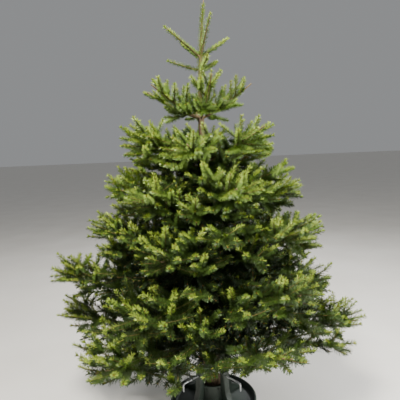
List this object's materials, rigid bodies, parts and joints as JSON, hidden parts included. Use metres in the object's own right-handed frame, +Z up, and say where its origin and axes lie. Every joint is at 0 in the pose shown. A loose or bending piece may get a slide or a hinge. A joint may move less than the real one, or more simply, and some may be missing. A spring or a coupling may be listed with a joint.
{
  "type": "christmas tree",
  "caption": "Cut fir christmas tree without decorations, clamped upright in a round plastic dish stand; rests on its flat underside.",
  "frame": {"origin": "centre of the stand's flat underside, on the floor", "axes": "+Z up along the trunk, -Y towards the front of the tree, +X to its right as seen from the front"},
  "size_m": [1.5026, 1.4403, 2.0603],
  "materials": {
    "bark": "rough bark",
    "bough_bark": "smooth young bark",
    "plastic": "moulded, slightly glossy",
    "steel": "bright zinc plated",
    "needles_tier1": "waxy needles",
    "needles_tier2": "waxy needles",
    "needles_tier3": "waxy needles",
    "needles_tier4": "waxy needles",
    "needles_tier5": "waxy needles",
    "needles_tier6": "waxy needles",
    "needles_tier7": "waxy needles",
    "needles_tier8": "waxy needles"
  },
  "bodies": {
    "root": {"bough_tier7_1": "bough_bark", "bough_tier7_2": "bough_bark", "bough_tier7_3": "bough_bark", "bough_tier7_4": "bough_bark", "bough_tier7_5": "bough_bark", "bough_tier7_6": "bough_bark", "bough_tier8_1": "bough_bark", "bough_tier8_2": "bough_bark", "bough_tier8_3": "bough_bark", "bough_tier8_4": "bough_bark", "bough_tier8_5": "bough_bark", "bough_tier8_6": "bough_bark", "clamp_screw_1": "steel", "clamp_screw_2": "steel", "clamp_screw_3": "steel", "clamp_screw_4": "steel", "foliage_tier1_1": "needles_tier1", "foliage_tier1_2": "needles_tier1", "foliage_tier1_3": "needles_tier1", "foliage_tier1_4": "needles_tier1", "foliage_tier2_1": "needles_tier2", "foliage_tier2_2": "needles_tier2", "foliage_tier2_3": "needles_tier2", "foliage_tier3_1": "needles_tier3", "foliage_tier3_2": "needles_tier3", "foliage_tier3_3": "needles_tier3", "foliage_tier3_4": "needles_tier3", "foliage_tier3_5": "needles_tier3", "foliage_tier3_6": "needles_tier3", "foliage_tier4_1": "needles_tier4", "foliage_tier4_2": "needles_tier4", "foliage_tier4_3": "needles_tier4", "foliage_tier4_4": "needles_tier4", "foliage_tier4_5": "needles_tier4", "foliage_tier4_6": "needles_tier4", "foliage_tier5_1": "needles_tier5", "foliage_tier5_2": "needles_tier5", "foliage_tier5_3": "needles_tier5", "foliage_tier5_4": "needles_tier5", "foliage_tier5_5": "needles_tier5", "foliage_tier5_6": "needles_tier5", "foliage_tier6_1": "needles_tier6", "foliage_tier6_2": "needles_tier6", "foliage_tier6_3": "needles_tier6", "foliage_tier6_4": "needles_tier6", "foliage_tier6_5": "needles_tier6", "foliage_tier7_1": "needles_tier7", "foliage_tier7_2": "needles_tier7", "foliage_tier7_3": "needles_tier7", "foliage_tier7_4": "needles_tier7", "foliage_tier7_5": "needles_tier7", "foliage_tier7_6": "needles_tier7", "foliage_tier8_1": "needles_tier8", "foliage_tier8_2": "needles_tier8", "foliage_tier8_3": "needles_tier8", "foliage_tier8_4": "needles_tier8", "foliage_tier8_5": "needles_tier8", "foliage_tier8_6": "needles_tier8", "stand_dish": "plastic", "trunk": "bark"}
  },
  "joints": []
}
